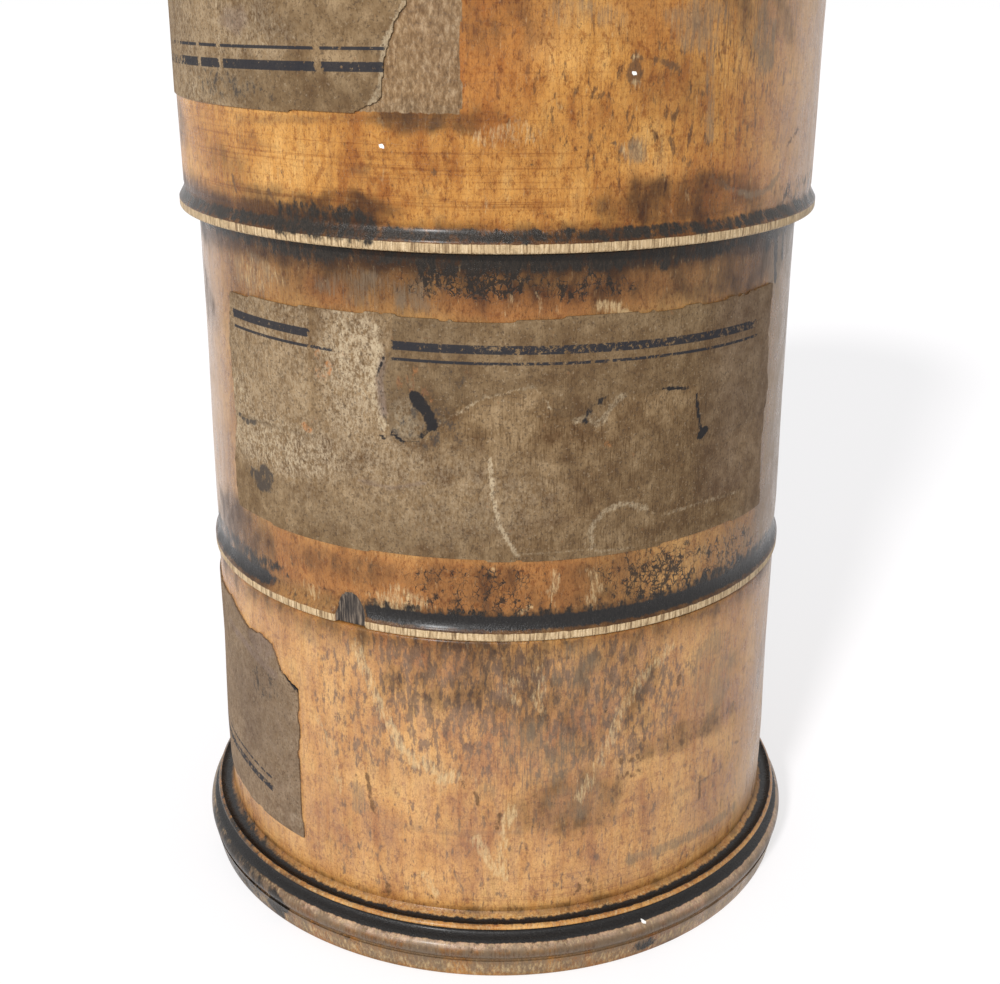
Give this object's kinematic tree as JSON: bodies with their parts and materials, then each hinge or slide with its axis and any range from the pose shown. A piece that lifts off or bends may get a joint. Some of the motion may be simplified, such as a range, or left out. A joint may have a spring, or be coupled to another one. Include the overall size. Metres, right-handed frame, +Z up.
{
  "type": "spice tower",
  "caption": "Turned wooden spice tower: round boxes that screw onto one another on a moulded foot, with pasted paper labels and a screwed lid with a knob.",
  "frame": {"origin": "centre of the foot's flat standing ring", "axes": "+Z up along the tower's axis, -Y is the front of the middle label, +X to the right"},
  "size_m": [0.081, 0.081, 0.1483],
  "materials": {
    "amber_wood": "aged varnished turned wood, worn and stained",
    "grimed_wood": "aged turned wood, brown with grime",
    "floor_wood": "bare dry wood",
    "lid_wood": "aged varnished turned wood",
    "old_paper": "brown pasted paper, torn and scuffed"
  },
  "bodies": {
    "bottom": {"bottom_tier": "amber_wood", "bottom_floor": "floor_wood", "bottom_label": "old_paper"},
    "middle_base": {"middle_floor": "floor_wood"},
    "middle": {"middle_tier": "grimed_wood", "middle_label": "old_paper"},
    "top_base": {"top_floor": "floor_wood"},
    "top": {"top_tier": "amber_wood", "top_label": "old_paper"},
    "lid_centre": {"lid_knob": "lid_wood"},
    "lid": {"lid": "lid_wood"}
  },
  "joints": [
    {"name": "middle_tier_rise", "type": "slide", "parent": "bottom", "child": "middle_base", "axis": [0, 0, 1], "range_m": [0, 0.0054]},
    {"name": "middle_tier_turn", "type": "hinge", "parent": "middle_base", "child": "middle", "pos_m": [0, 0, 0], "axis": [0, 0, 1], "range_deg": [0, 540]},
    {"name": "top_tier_rise", "type": "slide", "parent": "middle", "child": "top_base", "axis": [0, 0, 1], "range_m": [0, 0.0054]},
    {"name": "top_tier_turn", "type": "hinge", "parent": "top_base", "child": "top", "pos_m": [0, 0, 0], "axis": [0, 0, 1], "range_deg": [0, 540]},
    {"name": "lid_rise", "type": "slide", "parent": "top", "child": "lid_centre", "axis": [0, 0, 1], "range_m": [0, 0.0054]},
    {"name": "lid_turn", "type": "hinge", "parent": "lid_centre", "child": "lid", "pos_m": [0, 0, 0], "axis": [0, 0, 1], "range_deg": [0, 540]}
  ],
  "couplings": [
    {"joint": "middle_tier_rise", "follows": "middle_tier_turn", "m_per_rad": 0.00057296},
    {"joint": "top_tier_rise", "follows": "top_tier_turn", "m_per_rad": 0.00057296},
    {"joint": "lid_rise", "follows": "lid_turn", "m_per_rad": 0.00057296}
  ]
}
